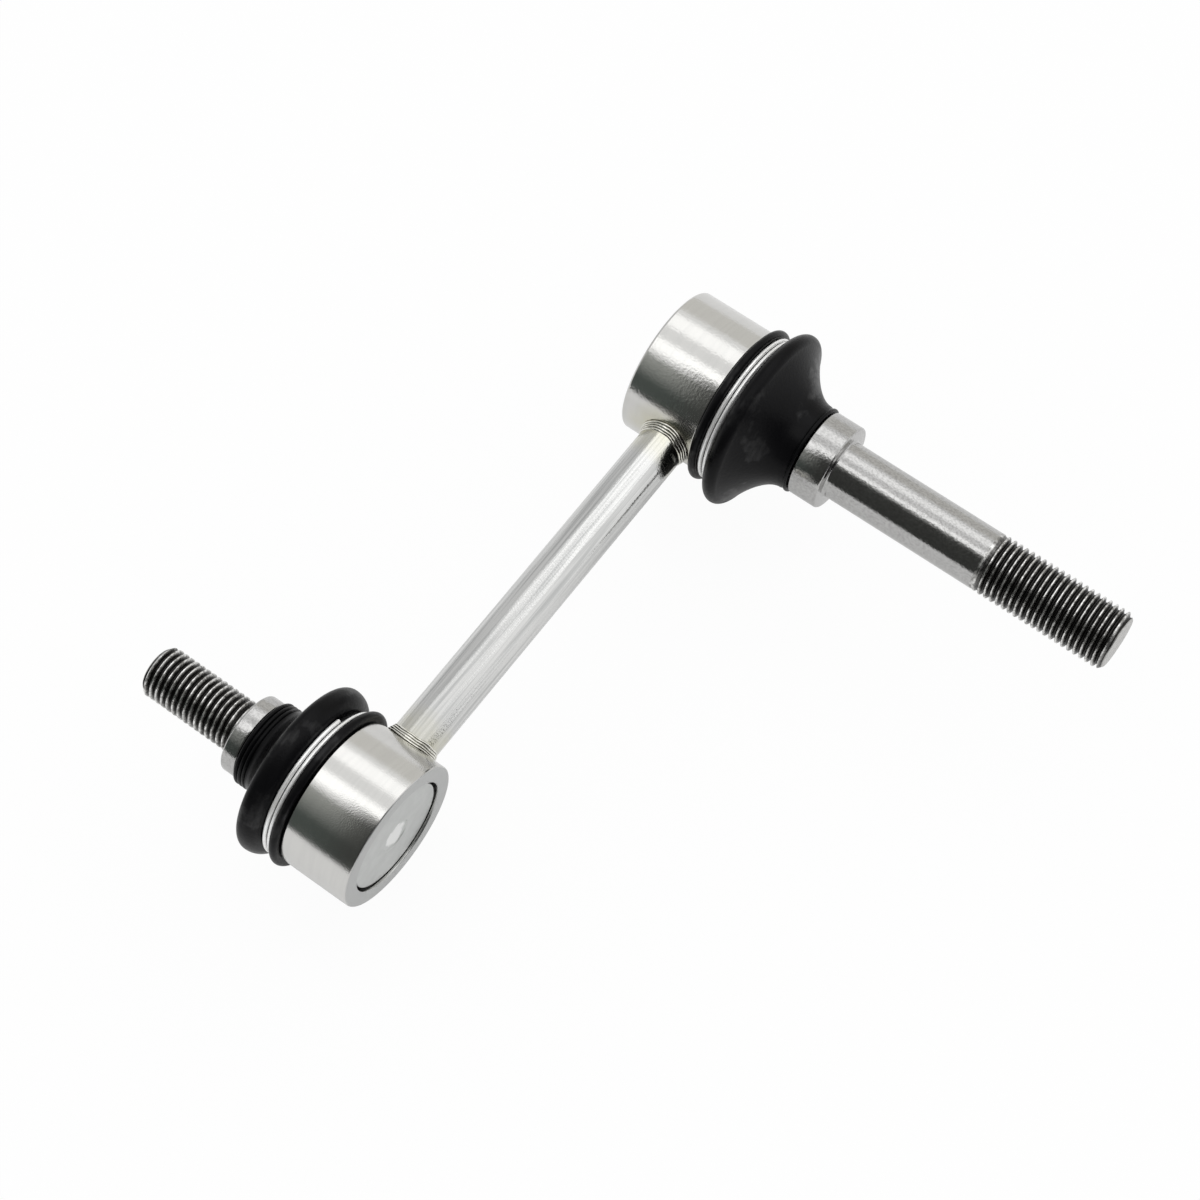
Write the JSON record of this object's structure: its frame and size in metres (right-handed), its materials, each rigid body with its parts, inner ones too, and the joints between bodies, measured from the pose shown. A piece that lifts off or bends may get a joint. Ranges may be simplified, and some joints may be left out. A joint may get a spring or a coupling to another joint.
{
  "type": "stabilizer link",
  "caption": "Straight suspension link with a sealed ball joint welded at each end; a long shanked stud and a short threaded stud point opposite ways, square to the rod.",
  "frame": {"origin": "on the short stud's axis, at the seating face of its collar", "axes": "+X along the rod from the short stud to the long stud, +Y out along the short stud, +Z square to rod and studs"},
  "size_m": [0.1664, 0.1596, 0.0428],
  "materials": {
    "rod_steel": "bright zinc plate with drawn streaks along the rod",
    "housing_steel": "bright zinc plate over fine turning marks",
    "weld_steel": "zinc plate, faintly yellow over the weld ripples",
    "cap_steel": "matt zinc plate",
    "seat_resin": "natural acetal resin",
    "stud_steel": "bright steel, mottled, dark in the thread",
    "boot_rubber": "satin black rubber",
    "clip_steel": "bright spring wire"
  },
  "bodies": {
    "link": {"link_rod": "rod_steel", "long_end_housing": "housing_steel", "long_end_weld": "weld_steel", "long_end_cap": "cap_steel", "long_end_seat": "seat_resin", "long_end_clip": "clip_steel", "short_end_housing": "housing_steel", "short_end_weld": "weld_steel", "short_end_cap": "cap_steel", "short_end_seat": "seat_resin", "short_end_clip": "clip_steel"},
    "long_rocker": {"long_end_boot": "boot_rubber"},
    "long_swinger": {"long_end_neck_ring": "clip_steel"},
    "long_stud": {"long_end_stud": "stud_steel"},
    "short_rocker": {"short_end_boot": "boot_rubber"},
    "short_swinger": {"short_end_neck_ring": "clip_steel"},
    "short_stud": {"short_end_stud": "stud_steel"}
  },
  "joints": [
    {"name": "long_end_rock", "type": "hinge", "parent": "link", "child": "long_rocker", "pos_m": [0.125, -0.0308, 0], "axis": [1, 0, 0], "range_deg": [-18, 18], "deforming": ["long_end_boot"]},
    {"name": "long_end_swing", "type": "hinge", "parent": "long_rocker", "child": "long_swinger", "pos_m": [0.125, -0.0308, 0], "axis": [0, 0, 1], "range_deg": [-18, 18], "deforming": ["long_end_boot"]},
    {"name": "long_end_spin", "type": "hinge", "parent": "long_swinger", "child": "long_stud", "pos_m": [0.125, -0.0308, 0], "axis": [0, -1, 0], "continuous": true},
    {"name": "short_end_rock", "type": "hinge", "parent": "link", "child": "short_rocker", "pos_m": [0, -0.0278, 0], "axis": [1, 0, 0], "range_deg": [-18, 18], "deforming": ["short_end_boot"]},
    {"name": "short_end_swing", "type": "hinge", "parent": "short_rocker", "child": "short_swinger", "pos_m": [0, -0.0278, 0], "axis": [0, 0, 1], "range_deg": [-18, 18], "deforming": ["short_end_boot"]},
    {"name": "short_end_spin", "type": "hinge", "parent": "short_swinger", "child": "short_stud", "pos_m": [0, -0.0278, 0], "axis": [0, 1, 0], "continuous": true}
  ]
}
